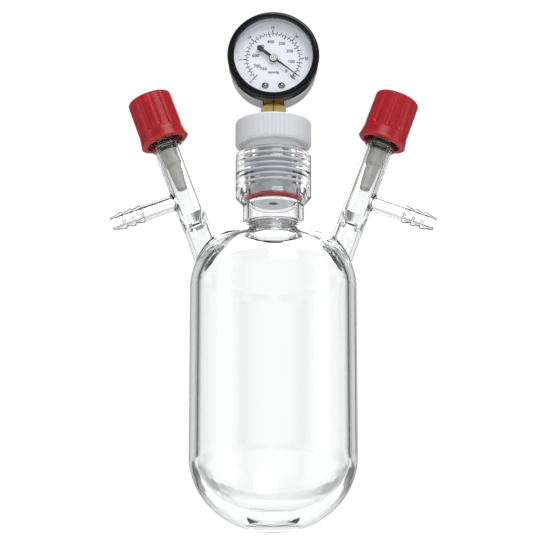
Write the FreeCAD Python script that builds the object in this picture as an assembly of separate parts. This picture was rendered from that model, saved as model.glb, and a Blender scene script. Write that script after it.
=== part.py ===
import FreeCAD, Part
import math
import os

# Vacuum reaction flask, millimetres. Origin at the centre of the flat under the base, +Z up,
# +X towards the right-hand valve, the gauge faces -Y.

# Flask body
body_r = 50.0
wall = 5.0
base_flat_r = 16.5
base_rise = 44.7        # height of the elliptic bottom's half axis
floor_thick = 6.7
floor_flat_r = 4.0      # level spot in the middle of the inside floor
shoulder_z = 145.5      # where the straight wall meets the shoulder
shoulder_round = 38.0   # the shoulder's corner arc
crown_angle = 50.0      # where the corner arc runs into the flatter crown, degrees up
neck_r = 18.4
neck_bore_r = 14.15
neck_blend = 3.5
collar_r = 22.9
collar_z = 203.2        # collar at full width from here up
collar_taper = 5.3
rim_z = 230.3
rim_round = 1.6
seat_slope = 45.0       # O-ring seat's cone, degrees
thread_pitch = 3.4
thread_depth = 0.7
collar_bore_r = 18.3
collar_turns = 7

# Slanted valve barrels, one each side
arm_tilt = 20.0
arm_inset = 5.8         # the barrel's foot stands this far inside the straight wall
arm_foot_x = body_r - arm_inset    # a point on the barrel's axis just above the shoulder
arm_foot_z = 178.3
arm_r = 8.15
arm_bore_r = 6.0
arm_end = 67.3          # barrel's mouth, along its axis from the foot
arm_root = 24.0         # barrel runs on inside the shoulder by this much
arm_thread_r = 9.25
arm_thread_length = 7.5
arm_thread_slope = 1.0
arm_mouth_bevel = 0.8
seat_hole_r = 3.3
seat_at = 7.8
seat_land = 1.2
seat_cone = 6.5
lower_cone = 1.6
port_at = 25.5
port_r = 4.7
port_flare = 0.4        # the barbs' valleys lie this far below the tube
port_bore_r = 3.15
port_reach = 47.6
barb_r = 5.4
barb_front = 0.3        # the barb's steep side, and where its flat top ends
barb_land = 1.4
barb_tip_r = 3.9
barb_pitch = 5.8
barb_count = 3
barb_tip_length = 2.6
barb_tip_bevel = 0.8
port_blend = 1.6
arm_blend = 2.0

# Bushing, O-ring and adapter
head_r = 23.1
head_low_z = 235.0
head_height = 15.6
head_round = 1.6
shank_r = 17.6
crest_gap = 0.3         # the bushing's crests stay this far inside the collar's
groove_r = 13.45
nose_r = 12.5
vent_r = 2.75
oring_r = 15.5
oring_cord = 3.5
oring_z = 201.6
nose_drop = 3.0         # the nose ends this far below the O-ring's middle
nose_z = oring_z - nose_drop
ring_gap = 0.3          # rings to their seats
hex_flats = 15.0
hex_height = 9.7
hex_spigot_r = 6.0
hex_spigot_length = 10.0
hex_bore_r = 2.0

# Gauge
gauge_z = 288.75
case_r = 26.6
case_wall = 1.1
case_back_y = 10.0
case_back_round = 1.5
case_rib_at = 0.55      # share of the drum's depth at which its rolled groove starts
case_rib_depth = 0.7    # in wall thicknesses
case_hole_r = 1.5
case_front_y = -11.5
bezel_wall = 1.5
bezel_r = case_r + bezel_wall
bezel_round = 1.8
bezel_lip = 0.8          # slope of the lip in front of the window
bezel_burr = 0.4
bezel_front_y = -17.5
bezel_back_y = -9.5
snap_gap = 0.05         # pressed and screwed gauge pieces to each other
window_inset = 1.0      # window's edge in from the case's outside
window_r = case_r - window_inset
window_thick = 2.0
window_recess = 1.2
window_rim = 1.6        # width of the window's edge that the bezel covers
window_view_r = window_r - window_rim
spacer_gap = 0.3         # the spacer's bore stands this far out of view
dial_play = 0.5         # dial to the inside of the case's wall
dial_r = case_r - case_wall - dial_play
dial_thick = 0.6
dial_face_y = -9.6
dial_screw_x = 5.0
dial_screw_drop = 17.3
dial_screw_head_r = 2.1
dial_screw_head = 1.1
dial_screw_shank_r = 0.8
dial_screw_length = 6.0
dial_screw_slot = 0.6
dial_screw_hole_r = 1.0
dial_hole_r = 1.6
stem_side = 12.0
stem_clearance = 0.5    # round the stem in the case's wall
stem_spigot_r = 4.6
stem_spigot_length = 7.0
stem_bore_r = 1.5
stem_top = 19.5         # below the dial's centre
tongue_half = 7.0
tongue_top = 8.0        # below the dial's centre
tongue_foot = 2.5       # above the case's wall
post_r = 1.8
tube_r = 18.5
tube_thick = 2.4
tube_width = 5.2
tube_wall = 0.35
tube_start = -66.0
tube_end = 203.0
tube_y = 3.7

# Gauge movement
tooth_module = 0.3
sector_teeth = 70       # on the full circle
pinion_teeth = 10
sector_from = 82.0      # degrees of the sector's toothed arc at rest
sector_to = 136.0
tooth_play = 0.055
sector_y = -2.1
sector_thick = 0.8
pinion_face = 2.0
arbor_r = 0.6
arbor_gap = 0.05
tail_angle = -116.6
tail_length = 4.2
link_pin_r = 0.45
link_thick = 0.5
link_half = 0.75
link_lift = 0.35        # the link runs this far in front of the sector
link_pin_play = 0.3
pressure_angle = 20.0
sector_relief_at = 5.6
sector_relief_r = 1.8
sector_hub_r = 1.6
sector_tail_half = 1.0
sector_fan_margin = 2.0
tip_cap_margin = 0.3    # the end piece is this much bigger than the tube all round
tip_cap_length = 2.2
tip_post_r = 1.0
tip_bridge_x = 3.0
tip_bridge_z = 1.6
tip_x = -15.0
tip_drop = 9.0
plate_thick = 0.8
back_plate_y = 1.4
front_plate_y = -5.4
pillar_r = 0.9
move_screw_x = 4.6
move_screw_drop = 10.4
case_screw_drop = 14.0
case_screw_x = 4.0
case_screw_r = 1.2
case_screw_head_r = 2.4
case_screw_head = 1.5
case_screw_length = 3.5
case_screw_slot = 0.7
move_screw_head_r = 1.5
move_screw_head = 0.7
move_screw_length = 2.8
plate_half = 7.5
plate_high = 5.0        # above the dial's centre
back_plate_drop = 15.2  # feet of the plates below the dial's centre
front_plate_drop = 14.0
pillar_x = 6.3
pillar_high = 3.9
pillar_low = 12.6
arbor_reach = 0.1       # the arbors stand this far out of their plates

# Pointer
pointer_rest = -37.0
pointer_length = 20.3
pointer_tail = 12.4
pointer_point = 0.12    # half widths: tip, root of the needle, stalk and spade of the tail
pointer_root = 0.75
pointer_stalk = 0.95
pointer_spade_half = 1.7
pointer_spade = 4.2     # length of the spade
pointer_thick = 0.4
pointer_y = -11.6
pointer_hub_r = 2.5
pointer_cap_r = 2.1

# Valve knob and spindle, distances along the barrel's axis from its foot
knob_low = 63.2
knob_length = 30.8
knob_rim_r = 14.8
knob_body_r = 13.75
knob_top_r = 13.6
knob_rim_bevel = 0.8
knob_rim_land = 2.4     # the rim's band, and how far it draws in above
knob_rim_waist = 0.3
stub_socket_wall = 2.2
knob_collar = 7.0
knob_mouth_r = 11.3
knob_mouth_depth = 1.6
knob_thread_gap = 0.4
knob_roof = 2.6
knob_round = 2.4
knob_flutes = 12
knob_flute_r = 3.0
knob_flute_depth = 0.9
spindle_tip = 31.0
spindle_tip_r = 3.35
spindle_low_r = 4.25
spindle_up_r = 5.25
spindle_taper = 12.0
spindle_step = 46.0
spindle_step_length = 2.5
spindle_round = 1.5
spindle_head_gap = 0.3
stub_r = 3.2
stub_length = 5.5
stub_gap = 0.05
seal_at = 58.5
seal_cord = 1.9
seal_spacing = 4.2
seal_gap = 0.05
seal_groove_play = 0.1

up = FreeCAD.Vector(0, 0, 1)
front = FreeCAD.Vector(0, -1, 0)


def point(x, y, z):
    return FreeCAD.Vector(x, y, z)


def rod(start, end, radius):
    return Part.makeCylinder(radius, end.distanceToPoint(start), start, end - start)


def outline(steps):
    """Wire in the XZ plane. A step is a corner (x, z), or (mid, end) for an arc to end."""
    edges = []
    here = point(steps[0][0], 0, steps[0][1])
    first = here
    for step in steps[1:]:
        if isinstance(step[0], tuple):
            mid = point(step[0][0], 0, step[0][1])
            there = point(step[1][0], 0, step[1][1])
            edges.append(Part.Arc(here, mid, there).toShape())
        else:
            there = point(step[0], 0, step[1])
            edges.append(Part.LineSegment(here, there).toShape())
        here = there
    if here.distanceToPoint(first) > 1e-6:
        edges.append(Part.LineSegment(here, first).toShape())
    return Part.Wire(edges)


def lathe(steps):
    """Solid of revolution about Z of an outline of (radius, height) steps."""
    return Part.Face(outline(steps)).revolve(point(0, 0, 0), up, 360)


def along_y(shape, y):
    """Turns a solid made along +Z so that its +Z looks along -Y, at the gauge's centre."""
    shape.rotate(point(0, 0, 0), point(1, 0, 0), 90)
    shape.translate(point(0, y, gauge_z))
    return shape


def disc(x, drop, y_back, y_front, radius):
    """Round bar along Y at x and a distance below the dial's centre."""
    return rod(point(x, y_back, gauge_z - drop), point(x, y_front, gauge_z - drop), radius)


def mirrored(shape):
    return shape.mirror(point(0, 0, 0), point(1, 0, 0))


def circle_mid(cx, cz, radius, degrees):
    """A point of a circle in an outline, by its angle."""
    turn = math.radians(degrees)
    return (cx + radius * math.cos(turn), cz + radius * math.sin(turn))


# Flask: outer form, hollow, barrels

base_z = base_rise * math.sqrt(1 - (base_flat_r / body_r) ** 2)
inner_r = body_r - wall
seat_rise = math.tan(math.radians(seat_slope))
# The seat's cone lies one ring gap off the O-ring's cord.
seat_offset = (oring_cord / 2 + ring_gap) / math.cos(math.radians(seat_slope))
seat_low_z = oring_z - seat_offset - (oring_r - neck_bore_r) * seat_rise
seat_high_z = seat_low_z + (collar_bore_r - neck_bore_r) * seat_rise


def bowl(radius, rise, flat_r):
    """Lower half of an ellipsoid about the base's centre height, with a flat spot at its foot."""
    frame = FreeCAD.Placement(point(0, 0, base_z), FreeCAD.Rotation(point(1, 0, 0), 90))
    oval = Part.Ellipse(point(0, 0, 0), max(radius, rise), min(radius, rise))
    foot = math.asin(-math.sqrt(1 - (flat_r / radius) ** 2))
    side = Part.ArcOfEllipse(oval, foot, 0).toShape()
    side.Placement = frame
    low = side.Vertexes[0].Point
    high = side.Vertexes[-1].Point
    centre = point(0, 0, high.z)
    edges = [side, Part.makeLine(high, centre), Part.makeLine(centre, point(0, 0, low.z))]
    edges.append(Part.makeLine(point(0, 0, low.z), low))
    return Part.Face(Part.Wire(Part.__sortEdges__(edges))).revolve(point(0, 0, 0), up, 360)


def shoulder_steps(inset, cut_r):
    """Straight wall's top in to a circle of the neck: corner arc, then the flatter crown, inset by a wall."""
    turn = math.radians(crown_angle)
    corner = shoulder_round - inset
    corner_x = body_r - shoulder_round
    crown = corner_x / math.cos(turn) + corner
    crown_z = shoulder_z - corner_x * math.tan(turn)
    cut_angle = math.degrees(math.acos(cut_r / crown))
    return [
        (body_r - inset, shoulder_z),
        (
            circle_mid(corner_x, shoulder_z, corner, crown_angle / 2),
            circle_mid(corner_x, shoulder_z, corner, crown_angle),
        ),
        (
            circle_mid(0, crown_z, crown, (crown_angle + cut_angle) / 2),
            circle_mid(0, crown_z, crown, cut_angle),
        ),
    ]


def ripple(low, turns, radius, depth):
    """Steps up a bore or shank with one rounded V ridge for each turn, radius plus depth."""
    steps = []
    for turn in range(turns):
        z = low + turn * thread_pitch
        steps.append((radius, z))
        steps.append((radius + depth, z + thread_pitch / 2))
    steps.append((radius, low + turns * thread_pitch))
    return steps


def body_outside():
    shoulder = shoulder_steps(0, neck_r)
    neck_low_z = shoulder[-1][1][1]
    steps = [(0, base_z), (body_r, base_z)] + shoulder + [
        (neck_r, collar_z - collar_taper),
        (collar_r, collar_z),
        (collar_r, rim_z - rim_round),
        (
            circle_mid(collar_r - rim_round, rim_z - rim_round, rim_round, 45),
            (collar_r - rim_round, rim_z),
        ),
        (0, rim_z),
    ]
    upper = lathe(steps)
    ring = [e for e in upper.Edges if at_ring(e, neck_r, neck_low_z)]
    upper = upper.makeFillet(neck_blend, ring)
    return upper.fuse(bowl(body_r, base_rise, base_flat_r))


def at_ring(edge, radius, z):
    """True for a round edge about Z with this radius and height."""
    curve = edge.Curve
    if not isinstance(curve, Part.Circle):
        return False
    return abs(curve.Radius - radius) < 1e-4 and abs(curve.Center.z - z) < 1e-4


def body_hollow():
    low = rim_z - collar_turns * thread_pitch
    # The collar's crests stand inwards from the bore's roots.
    steps = [(0, base_z), (inner_r, base_z)] + shoulder_steps(wall, neck_bore_r) + [
        (neck_bore_r, seat_low_z),
        (collar_bore_r, seat_high_z),
    ]
    steps += ripple(low, collar_turns, collar_bore_r, -thread_depth)
    steps.append((collar_bore_r, rim_z + wall))
    steps.append((0, rim_z + wall))
    return lathe(steps).fuse(bowl(inner_r, base_z - floor_thick, floor_flat_r))


def to_arm(shape):
    """Sets a shape made along +Z, foot at the origin, onto the right-hand barrel's axis."""
    shape.rotate(point(0, 0, 0), point(0, 1, 0), arm_tilt)
    shape.translate(point(arm_foot_x, 0, arm_foot_z))
    return shape


def arm_outside():
    thread_low = arm_end - arm_thread_length
    barrel = lathe([
        (0, -arm_root),
        (arm_r, -arm_root),
        (arm_r, thread_low - arm_thread_slope),
        (arm_thread_r, thread_low),
        (arm_thread_r, arm_end - arm_mouth_bevel),
        (arm_thread_r - arm_mouth_bevel, arm_end),
        (0, arm_end),
    ])
    return barrel.fuse(hose_tube())


def port_solid(steps):
    """Solid of revolution on the hose tube's axis, heights counted from the barrel's axis."""
    shape = lathe(steps)
    shape.rotate(point(0, 0, 0), point(0, 1, 0), 90)
    shape.translate(point(0, 0, port_at))
    return shape


def hose_tube():
    first = port_reach - barb_tip_length - barb_count * barb_pitch
    steps = [(0, 0), (port_r, 0), (port_r, first)]
    for barb in range(barb_count):
        low = first + barb * barb_pitch
        steps.append((barb_r, low + barb_front))
        steps.append((barb_r, low + barb_land))
        steps.append((port_r - port_flare, low + barb_pitch))
    steps.append((barb_tip_r, port_reach - barb_tip_bevel))
    steps.append((barb_tip_r - barb_tip_bevel / 2, port_reach))
    steps.append((0, port_reach))
    return port_solid(steps)


def arm_bores():
    seat_top = seat_at + seat_land / 2
    seat_low = seat_at - seat_land / 2
    upper = lathe([
        (0, seat_low),
        (seat_hole_r, seat_low),
        (seat_hole_r, seat_top),
        (arm_bore_r, seat_top + seat_cone),
        (arm_bore_r, arm_end + wall),
        (0, arm_end + wall),
    ])
    lower = lathe([
        (0, -arm_root - wall),
        (arm_bore_r, -arm_root - wall),
        (arm_bore_r, seat_low - lower_cone),
        (seat_hole_r, seat_low),
        (0, seat_low),
    ])
    port = port_solid([(0, 0), (port_bore_r, 0), (port_bore_r, port_reach + wall), (0, port_reach + wall)])
    return upper.fuse([lower, port])


def blend_edges(shape, centres, reach, radius):
    """Rounds the seam edges that lie within reach of a centre."""
    seam = []
    for edge in shape.Edges:
        near = min(edge.BoundBox.Center.distanceToPoint(centre) for centre in centres)
        if near < reach and not isinstance(edge.Curve, (Part.Line, Part.Circle)):
            seam.append(edge)
    return shape.makeFillet(radius, seam)


def flask():
    right = to_arm(arm_outside())
    tilt = math.radians(arm_tilt)
    port_x = arm_foot_x + port_at * math.sin(tilt)
    port_z = arm_foot_z + port_at * math.cos(tilt)
    port_root = point(port_x + arm_r * math.cos(tilt), 0, port_z - arm_r * math.sin(tilt))
    right = blend_edges(right, [port_root], port_r, port_blend)
    outside = body_outside().fuse([right, mirrored(right)])
    shoulder_foot = point(arm_foot_x, 0, arm_foot_z - arm_r)
    outside = blend_edges(outside, [shoulder_foot, mirrored_point(shoulder_foot)], arm_root, arm_blend)
    bores = to_arm(arm_bores())
    # The bores stop in the open hollow, so only their lower ends are trimmed by it.
    return outside.cut(body_hollow().fuse([bores, mirrored(bores)])).removeSplitter()


def mirrored_point(p):
    return point(-p.x, p.y, p.z)


# Bushing with its O-ring, and the brass adapter

head_top_z = head_low_z + head_height
groove_top_z = oring_z + oring_cord / 2 + ring_gap
groove_low_z = oring_z - oring_cord / 2 - ring_gap


def bushing():
    crest_r = collar_bore_r - thread_depth - crest_gap
    low = rim_z - collar_turns * thread_pitch + thread_pitch / 2
    steps = [
        (vent_r, nose_z),
        (nose_r, nose_z),
        (nose_r, groove_low_z),
        (groove_r, groove_low_z),
        (groove_r, groove_top_z),
        (crest_r - thread_depth, groove_top_z),
    ]
    steps += ripple(low, collar_turns - 1, crest_r - thread_depth, thread_depth)
    steps += [
        (shank_r, rim_z),
        (shank_r, head_low_z),
        (head_r - head_round, head_low_z),
        (
            circle_mid(head_r - head_round, head_low_z + head_round, head_round, -45),
            (head_r, head_low_z + head_round),
        ),
        (head_r, head_top_z - head_round),
        (
            circle_mid(head_r - head_round, head_top_z - head_round, head_round, 45),
            (head_r - head_round, head_top_z),
        ),
        (hex_spigot_r, head_top_z),
        (hex_spigot_r, head_top_z - hex_spigot_length),
        (vent_r, head_top_z - hex_spigot_length),
    ]
    return lathe(steps)


def bushing_o_ring():
    return Part.makeTorus(oring_r, oring_cord / 2, point(0, 0, oring_z), up)


def brass_adapter():
    half = hex_flats / 2
    corner = half / math.cos(math.radians(30))
    # One corner of the hexagon faces the front.
    corners = [circle_mid(0, 0, corner, 60 * k + 30) for k in range(6)]
    ring = [point(x, y, head_top_z) for x, y in corners]
    prism = Part.Face(Part.makePolygon(ring + ring[:1])).extrude(up * hex_height)
    chamfer = corner - half
    top = head_top_z + hex_height
    turned = lathe([
        (0, head_top_z),
        (half, head_top_z),
        (corner, head_top_z + chamfer),
        (corner, top - chamfer),
        (half, top),
        (0, top),
    ])
    spigot = rod(point(0, 0, head_top_z - hex_spigot_length), point(0, 0, head_top_z), hex_spigot_r)
    socket = rod(point(0, 0, top - stem_spigot_length), point(0, 0, top), stem_spigot_r)
    bore = rod(point(0, 0, nose_z), point(0, 0, top), hex_bore_r)
    return prism.common(turned).fuse(spigot).cut([socket, bore])


# Gauge housing

stem_low_z = head_top_z + hex_height
stem_high_z = gauge_z - stem_top
case_inner_back = case_back_y - case_wall
tongue_back_y = case_inner_back


def stem_window():
    """The clearance that the stem passes through in the case's wall."""
    half = stem_side / 2 + stem_clearance
    return Part.makeBox(2 * half, 2 * half, case_r, point(-half, -half, stem_low_z - case_wall))


def gauge_socket():
    half = stem_side / 2
    stem = Part.makeBox(stem_side, stem_side, stem_high_z - stem_low_z, point(-half, -half, stem_low_z))
    tongue_low_z = gauge_z - case_r + case_wall + tongue_foot
    tongue = Part.makeBox(
        2 * tongue_half,
        tongue_back_y - back_plate_y,
        gauge_z - tongue_top - tongue_low_z,
        point(-tongue_half, back_plate_y, tongue_low_z),
    )
    spigot = rod(point(0, 0, stem_low_z - stem_spigot_length), point(0, 0, stem_low_z), stem_spigot_r)
    posts = [
        disc(side * dial_screw_x, dial_screw_drop, back_plate_y, dial_back_y(), post_r)
        for side in (-1, 1)
    ]
    block = stem.fuse([tongue, spigot] + posts)
    top_z = stem_high_z - stem_bore_r - stem_clearance
    drilled = [
        rod(point(0, 0, stem_low_z - stem_spigot_length), point(0, 0, top_z), stem_bore_r),
        rod(point(0, 0, top_z), point(0, tube_y, top_z), stem_bore_r),
        rod(point(0, tube_y, top_z), tube_point(tube_start), tube_thick / 2 - tube_wall),
    ]
    for side in (-1, 1):
        screw_end = dial_face_y + dial_screw_length
        drilled.append(disc(side * dial_screw_x, dial_screw_drop, screw_end, dial_back_y(), dial_screw_shank_r))
        screw_end = back_plate_y + move_screw_length
        drilled.append(disc(side * move_screw_x, move_screw_drop, screw_end, back_plate_y, pillar_r))
        screw_end = tongue_back_y - case_screw_length
        drilled.append(disc(side * case_screw_x, case_screw_drop, tongue_back_y, screw_end, case_screw_r))
    return block.cut(drilled).cut(tube_solid(tube_thick, tube_width))


def dial_back_y():
    return dial_face_y + dial_thick


def gauge_case():
    depth = case_back_y - case_front_y
    lip = case_wall * case_rib_depth
    rib = depth * case_rib_at
    back_r = case_r - case_back_round
    drum = lathe([
        (0, 0),
        (back_r, 0),
        (circle_mid(back_r, case_back_round, case_back_round, -45), (case_r, case_back_round)),
        (case_r, rib),
        (case_r - lip, rib + lip),
        (case_r - lip, rib + 2 * lip),
        (case_r, rib + 3 * lip),
        (case_r, depth),
        (case_r - case_wall, depth),
        (case_r - case_wall, rib + 3 * lip),
        (case_r - lip - case_wall, rib + 2 * lip),
        (case_r - lip - case_wall, rib + lip),
        (case_r - case_wall, rib),
        (case_r - case_wall, case_wall),
        (0, case_wall),
    ])
    drum = along_y(drum, case_back_y)
    holes = [
        disc(side * case_screw_x, case_screw_drop, case_back_y, tongue_back_y, case_hole_r) for side in (-1, 1)
    ]
    return drum.cut([stem_window()] + holes)


def case_screws():
    """Two pan-head screws through the case's back into the socket."""
    screws = []
    for side in (-1, 1):
        x = side * case_screw_x
        z = gauge_z - case_screw_drop
        shank = disc(x, case_screw_drop, case_back_y, tongue_back_y - case_screw_length, case_screw_r)
        head = disc(x, case_screw_drop, case_back_y + case_screw_head, case_back_y, case_screw_head_r)
        slot_at = point(x - case_screw_head_r, case_back_y + case_screw_head - case_screw_slot, z - case_screw_slot / 2)
        slot = Part.makeBox(2 * case_screw_head_r, case_screw_slot, case_screw_slot, slot_at)
        screws.append(head.fuse(shank).cut(slot))
    return Part.makeCompound(screws)


def gauge_bezel():
    depth = bezel_back_y - bezel_front_y
    window_back = depth - window_recess - window_thick
    skirt_r = case_r + snap_gap
    seat_depth = bezel_back_y - case_front_y
    front_r = bezel_r - bezel_round
    ring = lathe([
        (skirt_r, 0),
        (bezel_r - bezel_burr, 0),
        (bezel_r, bezel_burr),
        (bezel_r, depth - bezel_round),
        (circle_mid(front_r, depth - bezel_round, bezel_round, 45), (front_r, depth)),
        (window_view_r + bezel_lip, depth),
        (window_view_r, depth - bezel_lip),
        (window_view_r, depth - window_recess),
        (window_r + snap_gap, depth - window_recess),
        (window_r + snap_gap, window_back),
        (case_r - case_wall, window_back),
        (case_r - case_wall, seat_depth),
        (skirt_r, seat_depth),
    ])
    return along_y(ring, bezel_back_y)


def gauge_window():
    back_y = bezel_front_y + window_recess + window_thick
    return disc(0, 0, back_y, back_y - window_thick, window_r)


def window_ring():
    """Spacer that holds the window out against the bezel's lip, seated on the dial."""
    low = dial_face_y
    high = bezel_front_y + window_recess + window_thick
    ring = lathe([
        (window_view_r + spacer_gap, 0),
        (dial_r, 0),
        (dial_r, low - high),
        (window_view_r + spacer_gap, low - high),
    ])
    return along_y(ring, low)


def dial_plate():
    plate = disc(0, 0, dial_back_y(), dial_face_y, dial_r)
    holes = [disc(0, 0, dial_back_y(), dial_face_y, dial_hole_r)]
    for side in (-1, 1):
        holes.append(disc(side * dial_screw_x, dial_screw_drop, dial_back_y(), dial_face_y, dial_screw_hole_r))
    return plate.cut(holes)


def dial_screws():
    screws = []
    for side in (-1, 1):
        x = side * dial_screw_x
        z = gauge_z - dial_screw_drop
        dome_r = (dial_screw_head_r ** 2 + dial_screw_head ** 2) / (2 * dial_screw_head)
        ball = Part.makeSphere(dome_r, point(x, dial_face_y - dial_screw_head + dome_r, z))
        head = ball.common(disc(x, dial_screw_drop, dial_face_y, dial_face_y - dial_screw_head, dial_screw_head_r))
        shank = disc(x, dial_screw_drop, dial_face_y + dial_screw_length, dial_face_y, dial_screw_shank_r)
        slot_at = point(x - dial_screw_head_r, dial_face_y - dial_screw_head, z - dial_screw_slot / 2)
        slot = Part.makeBox(2 * dial_screw_head_r, dial_screw_slot, dial_screw_slot, slot_at)
        screws.append(head.fuse(shank).cut(slot))
    return Part.makeCompound(screws)


# Gauge movement: spring tube, link, toothed sector and pinion

pinion_pitch_r = tooth_module * pinion_teeth / 2
sector_pitch_r = tooth_module * sector_teeth / 2
axle_drop = pinion_pitch_r + sector_pitch_r


def tube_point(degrees):
    x, z = circle_mid(0, gauge_z, tube_r, degrees)
    return point(x, tube_y, z)


def tube_solid(thick, width):
    """Flat oval section swept round the gauge's centre from the socket to the tip."""
    half = width / 2 - thick / 2
    section = outline([
        (tube_r - thick / 2, -half),
        ((tube_r, -half - thick / 2), (tube_r + thick / 2, -half)),
        (tube_r + thick / 2, half),
        ((tube_r, half + thick / 2), (tube_r - thick / 2, half)),
    ])
    sweep = Part.Face(section).revolve(point(0, 0, 0), up, tube_end - tube_start)
    sweep.rotate(point(0, 0, 0), up, tube_start)
    return along_y(sweep, tube_y)


def bourdon_tube():
    thick = tube_thick - 2 * tube_wall
    return tube_solid(tube_thick, tube_width).cut(tube_solid(thick, tube_width - 2 * tube_wall))


def tube_tip():
    """End piece that closes the tube and carries the link's pin forward."""
    end = tube_point(tube_end)
    pin_z = gauge_z - tip_drop
    link_y = sector_y - sector_thick - link_lift
    thick = tube_thick + 2 * tip_cap_margin
    width = tube_width + 2 * tip_cap_margin
    cap = Part.makeBox(thick, width, tip_cap_length, point(-thick / 2, -width / 2, 0))
    # Turned so that it lies across the tube's end, on the side away from the tube.
    cap.rotate(point(0, 0, 0), point(0, 1, 0), -tube_end)
    cap.translate(end)
    post_y = link_y + 2 * link_pin_play
    arm = rod(point(tip_x, tube_y + tube_width / 2, pin_z), point(tip_x, post_y, pin_z), tip_post_r)
    # The pin ends short of the link, because the tube's bend isn't followed here.
    pin = rod(point(tip_x, post_y, pin_z), point(tip_x, link_y + link_pin_play, pin_z), link_pin_r)
    bridge_at = point(tip_x - tip_cap_length, tube_y - tube_width / 2, pin_z - 2 * tip_cap_margin)
    bridge = Part.makeBox(tip_bridge_x, tube_width, tip_bridge_z, bridge_at)
    return cap.fuse([arm, pin, bridge]).cut(tube_solid(tube_thick, tube_width))


def gear_tooth(pitch_r, teeth, addendum, dedendum, play):
    """One involute tooth's outline about angle zero, from root to tip and back."""
    pressure = math.radians(pressure_angle)
    base_r = pitch_r * math.cos(pressure)
    tip_r = pitch_r + addendum
    root_r = pitch_r - dedendum
    half = math.pi / (2 * teeth) - play / pitch_r
    spread = math.tan(pressure) - pressure
    start_r = max(base_r, root_r)
    flank = []
    for step in range(4):
        radius = start_r + (tip_r - start_r) * step / 3
        roll = math.acos(min(1, base_r / radius))
        flank.append((radius, half + spread - (math.tan(roll) - roll)))
    if root_r < base_r:
        flank.insert(0, (root_r, flank[0][1] * 0.8))
    return flank


def toothed_disc(pitch_r, teeth, picked, addendum, dedendum, play):
    """Flat gear face with the picked teeth; the rim between others stays at the root."""
    pitch_angle = 2 * math.pi / teeth
    root_r = pitch_r - dedendum
    faces = [Part.Face(Part.Wire(Part.makeCircle(root_r)))]
    flank = gear_tooth(pitch_r, teeth, addendum, dedendum, play)
    for tooth in picked:
        centre = tooth * pitch_angle
        left = [point(r * math.cos(centre - a), r * math.sin(centre - a), 0) for r, a in flank]
        right = [point(r * math.cos(centre + a), r * math.sin(centre + a), 0) for r, a in reversed(flank)]
        inward = point(0.8 * root_r * math.cos(centre), 0.8 * root_r * math.sin(centre), 0)
        faces.append(Part.Face(Part.makePolygon([inward] + left + right + [inward])))
    return faces[0].fuse(faces[1:]).removeSplitter()


def geared(face, thick):
    return face.Faces[0].extrude(point(0, 0, thick))


def sector_gear():
    pitch_angle = 360 / sector_teeth
    # A tooth gap of the sector faces the pinion's centre line at rest.
    first = math.ceil((sector_from - 90) / pitch_angle - 0.5)
    last = math.floor((sector_to - 90) / pitch_angle - 0.5)
    face = toothed_disc(
        sector_pitch_r, sector_teeth, range(first, last + 1), 0.8 * tooth_module, 1.15 * tooth_module, tooth_play
    )
    plate = geared(face, sector_thick)
    plate.rotate(point(0, 0, 0), up, 90 + pitch_angle / 2)
    # Only the toothed fan, the hub and the tail stay of the disc.
    fan_low = math.radians(sector_from - sector_fan_margin)
    fan_high = math.radians(sector_to + sector_fan_margin)
    reach = 2 * sector_pitch_r
    fan = Part.Face(Part.makePolygon([
        point(0, 0, 0),
        point(reach * math.cos(fan_low), reach * math.sin(fan_low), 0),
        point(reach * math.cos(fan_high), reach * math.sin(fan_high), 0),
        point(0, 0, 0),
    ])).extrude(up * sector_thick)
    middle = math.radians((sector_from + sector_to) / 2)
    relief_at = point(sector_relief_at * math.cos(middle), sector_relief_at * math.sin(middle), 0)
    relief = Part.makeCylinder(sector_relief_r, sector_thick, relief_at, up)
    hub = Part.makeCylinder(sector_hub_r, sector_thick, point(0, 0, 0), up)
    tail_x, tail_z = circle_mid(0, 0, tail_length, tail_angle)
    tail = strip(0, 0, tail_x, tail_z, sector_tail_half, sector_thick)
    blade = plate.common(fan).cut(relief).fuse([hub, tail])
    pin_hole = Part.makeCylinder(link_pin_r + arbor_gap, sector_thick, point(tail_x, tail_z, 0), up)
    blade = along_y(blade.cut(pin_hole), sector_y)
    blade.translate(point(0, 0, -axle_drop))
    arbor_low = back_plate_y - arbor_reach
    arbor = disc(0, axle_drop, arbor_low, front_plate_y - plate_thick + arbor_reach, arbor_r)
    return blade.fuse(arbor)


def strip(x0, z0, x1, z1, half, thick):
    """Flat bar with round ends from one point to another, before it is stood along Y."""
    length = math.hypot(x1 - x0, z1 - z0)
    bar = Part.makeBox(length, 2 * half, thick, point(0, -half, 0))
    ends = [Part.makeCylinder(half, thick, point(at, 0, 0), up) for at in (0, length)]
    bar = bar.fuse(ends)
    bar.rotate(point(0, 0, 0), up, math.degrees(math.atan2(z1 - z0, x1 - x0)))
    bar.translate(point(x0, z0, 0))
    return bar


def gauge_link():
    """Bar from the sector's tail to the tube's end piece, with its tail pin."""
    tail_x, tail_z = circle_mid(0, -axle_drop, tail_length, tail_angle)
    bar = strip(tail_x, tail_z, tip_x, -tip_drop, link_half, link_thick)
    open_hole = Part.makeCylinder(link_pin_r + arbor_gap, link_thick, point(tip_x, -tip_drop, 0), up)
    link_y = sector_y - sector_thick - link_lift
    bar = along_y(bar.cut(open_hole), link_y)
    pin = disc(tail_x, -tail_z, sector_y + link_lift, link_y, link_pin_r)
    return bar.fuse(pin)


def pinion_arbor():
    face = toothed_disc(
        pinion_pitch_r,
        pinion_teeth,
        range(pinion_teeth),
        0.85 * tooth_module,
        1.1 * tooth_module,
        tooth_play,
    )
    gear = geared(face, pinion_face)
    # One of its teeth points straight down into the sector's gap.
    gear.rotate(point(0, 0, 0), up, -90)
    gear = along_y(gear, sector_y + (pinion_face - sector_thick) / 2)
    arbor = disc(0, 0, back_plate_y - arbor_reach, pointer_y, arbor_r)
    return gear.fuse(arbor)


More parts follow.
